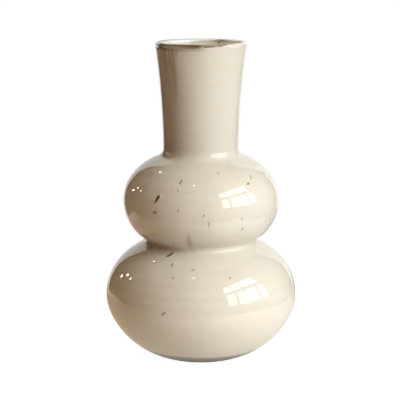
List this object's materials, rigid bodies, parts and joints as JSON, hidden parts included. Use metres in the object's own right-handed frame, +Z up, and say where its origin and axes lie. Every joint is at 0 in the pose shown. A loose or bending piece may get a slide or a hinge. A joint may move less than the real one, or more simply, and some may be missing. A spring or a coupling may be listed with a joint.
{
  "type": "double gourd vase",
  "caption": "Mouth-blown cased glass vase with two stacked bulbs and a flared neck, cream under clear glass, for holding cut flowers.",
  "frame": {"origin": "centre of the foot, on the surface that the vase stands on", "axes": "+Z up along the vase's axis, from the foot to the mouth; -Y towards the viewer of the picture"},
  "size_m": [0.1838, 0.1838, 0.3],
  "materials": {
    "clear_glass": "fire-polished clear overlay",
    "cream_glass": "opaque cream glass, gloss inside",
    "brown_glass": "dark brown glass chips"
  },
  "bodies": {
    "root": {"clear_casing": "clear_glass", "cream_lining": "cream_glass", "brown_flecks": "brown_glass"}
  },
  "joints": []
}
